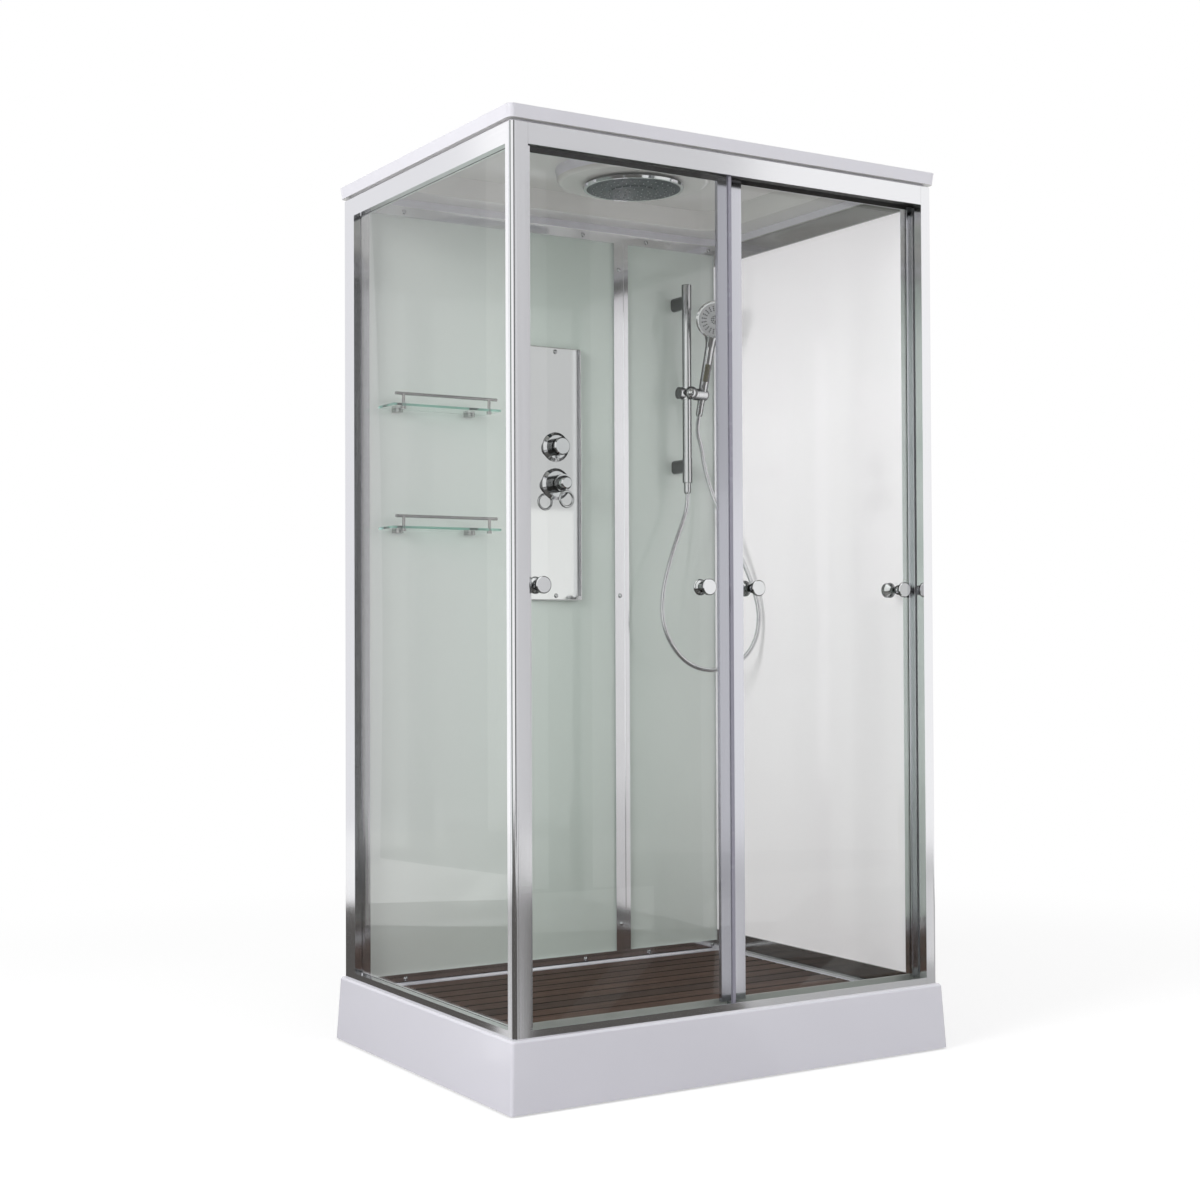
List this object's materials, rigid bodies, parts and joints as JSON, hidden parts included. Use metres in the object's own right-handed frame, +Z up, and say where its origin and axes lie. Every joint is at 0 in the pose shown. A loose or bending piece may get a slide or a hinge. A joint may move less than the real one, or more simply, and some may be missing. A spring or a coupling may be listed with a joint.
{
  "type": "shower cabin",
  "caption": "Corner shower cabin: moulded tray, polished frame, sliding glass doors, painted glass walls, roof with rain head, mixer panel, hand shower and shelves.",
  "frame": {"origin": "on the floor under the centre of the tray", "axes": "+X to the right along the doors, +Y from the doors towards the back wall, +Z up"},
  "size_m": [1.2, 0.9, 2.15],
  "materials": {
    "tray_acrylic": "glossy white acrylic with a faint lilac tint",
    "roof_acrylic": "glossy white acrylic",
    "polished_aluminium": "bright polished profile",
    "clear_glass": "clear tempered glass with a green edge",
    "painted_glass": "glass painted pale green-white on its back",
    "white_panel": "glass painted white on its back",
    "dark_wood": "dark oiled hardwood",
    "chrome": "polished chrome",
    "mirror_steel": "mirror-polished sheet",
    "spray_face": "satin grey plastic with pale rubber nozzles",
    "hose_steel": "wound bright steel strip",
    "black_plastic": "matt black plastic",
    "white_nylon": "white nylon",
    "clear_seal": "soft clear seal",
    "zinc_steel": "zinc-plated steel",
    "cast_brass": "plain cast brass"
  },
  "bodies": {
    "cabin": {"back_left_post": "polished_aluminium", "back_mullion": "polished_aluminium", "back_panel_left": "painted_glass", "back_panel_right": "painted_glass", "back_rails": "polished_aluminium", "back_right_post": "polished_aluminium", "bar_brackets": "chrome", "base_frame": "zinc_steel", "control_escutcheons": "chrome", "control_panel": "mirror_steel", "domed_screws": "chrome", "drain_trap": "black_plastic", "drain_waste": "chrome", "front_bottom_rail": "polished_aluminium", "front_left_post": "polished_aluminium", "front_right_post": "polished_aluminium", "front_top_rail": "polished_aluminium", "left_glass": "clear_glass", "left_rails": "polished_aluminium", "levelling_feet": "zinc_steel", "rain_head_body": "chrome", "rain_head_face": "spray_face", "right_panel": "white_panel", "right_rails": "polished_aluminium", "roof_cover": "roof_acrylic", "shelf_fittings": "chrome", "shelf_plates": "clear_glass", "shower_hose": "hose_steel", "shower_tray": "tray_acrylic", "slide_bar": "chrome", "valve_body": "cast_brass"},
    "left_door": {"left_door_edge_channel": "polished_aluminium", "left_door_glass": "clear_glass", "left_door_guides": "black_plastic", "left_door_hangers": "zinc_steel", "left_door_knobs": "chrome", "left_door_lap_strip": "polished_aluminium", "left_door_seal": "clear_seal"},
    "right_door": {"right_door_edge_stile": "polished_aluminium", "right_door_glass": "clear_glass", "right_door_guides": "black_plastic", "right_door_hangers": "zinc_steel", "right_door_knobs": "chrome", "right_door_lap_stile": "polished_aluminium", "right_door_seal": "clear_seal"},
    "left_door_roller_1": {"left_door_roller_1": "white_nylon"},
    "left_door_roller_2": {"left_door_roller_2": "white_nylon"},
    "right_door_roller_1": {"right_door_roller_1": "white_nylon"},
    "right_door_roller_2": {"right_door_roller_2": "white_nylon"},
    "duckboard": {"duckboard_slats": "dark_wood", "duckboard_battens": "dark_wood"},
    "diverter": {"diverter_knob": "chrome"},
    "mixer": {"mixer_collar": "chrome"},
    "mixer_lever": {"mixer_handle": "chrome"},
    "bar_slider": {"slider": "chrome"},
    "clamp_knob": {"slider_clamp_knob": "chrome"},
    "hand_shower": {"handset_holder": "chrome", "handset_body": "chrome", "handset_face": "spray_face"},
    "spray_selector": {"handset_selector": "chrome"}
  },
  "joints": [
    {"name": "left_door_slide", "type": "slide", "parent": "cabin", "child": "left_door", "axis": [1, 0, 0], "range_m": [0, 0.52]},
    {"name": "right_door_slide", "type": "slide", "parent": "cabin", "child": "right_door", "axis": [1, 0, 0], "range_m": [-0.52, 0]},
    {"name": "left_door_roller_1_spin", "type": "hinge", "parent": "left_door", "child": "left_door_roller_1", "pos_m": [-0.419, -0.4101, 2.0623], "axis": [0, 1, 0], "continuous": true},
    {"name": "left_door_roller_2_spin", "type": "hinge", "parent": "left_door", "child": "left_door_roller_2", "pos_m": [-0.128, -0.4101, 2.0623], "axis": [0, 1, 0], "continuous": true},
    {"name": "right_door_roller_1_spin", "type": "hinge", "parent": "right_door", "child": "right_door_roller_1", "pos_m": [0.1, -0.3899, 2.0623], "axis": [0, 1, 0], "continuous": true},
    {"name": "right_door_roller_2_spin", "type": "hinge", "parent": "right_door", "child": "right_door_roller_2", "pos_m": [0.4457, -0.3899, 2.0623], "axis": [0, 1, 0], "continuous": true},
    {"name": "duckboard_lift", "type": "slide", "parent": "cabin", "child": "duckboard", "axis": [0, 0, 1], "range_m": [0, 0.3]},
    {"name": "diverter_turn", "type": "hinge", "parent": "cabin", "child": "diverter", "pos_m": [0.004, 0.393, 1.498], "axis": [0, -1, 0], "range_deg": [-60, 60]},
    {"name": "mixer_turn", "type": "hinge", "parent": "cabin", "child": "mixer", "pos_m": [0.004, 0.393, 1.4], "axis": [0, -1, 0], "range_deg": [-45, 45]},
    {"name": "mixer_lift", "type": "hinge", "parent": "mixer", "child": "mixer_lever", "pos_m": [0.004, 0.347, 1.4], "axis": [-1, 0, 0], "range_deg": [0, 25]},
    {"name": "slider_slide", "type": "slide", "parent": "cabin", "child": "bar_slider", "axis": [0, 0, 1], "range_m": [-0.14, 0.16], "deforming": ["shower_hose"]},
    {"name": "clamp_knob_turn", "type": "hinge", "parent": "bar_slider", "child": "clamp_knob", "pos_m": [0.394, 0.347, 1.66], "axis": [0, -1, 0], "range_deg": [-90, 90]},
    {"name": "holder_tilt", "type": "hinge", "parent": "bar_slider", "child": "hand_shower", "pos_m": [0.445, 0.347, 1.66], "axis": [1, 0, 0], "range_deg": [-4, 21], "deforming": ["shower_hose"]},
    {"name": "selector_turn", "type": "hinge", "parent": "hand_shower", "child": "spray_selector", "pos_m": [0.445, 0.28619, 1.85891], "axis": [-0.4226, -0.8667, -0.265], "range_deg": [-30, 30]}
  ],
  "couplings": [
    {"joint": "left_door_roller_1_spin", "follows": "left_door_slide", "rad_per_m": 90.909},
    {"joint": "left_door_roller_2_spin", "follows": "left_door_slide", "rad_per_m": 90.909},
    {"joint": "right_door_roller_1_spin", "follows": "right_door_slide", "rad_per_m": 90.909},
    {"joint": "right_door_roller_2_spin", "follows": "right_door_slide", "rad_per_m": 90.909}
  ]
}
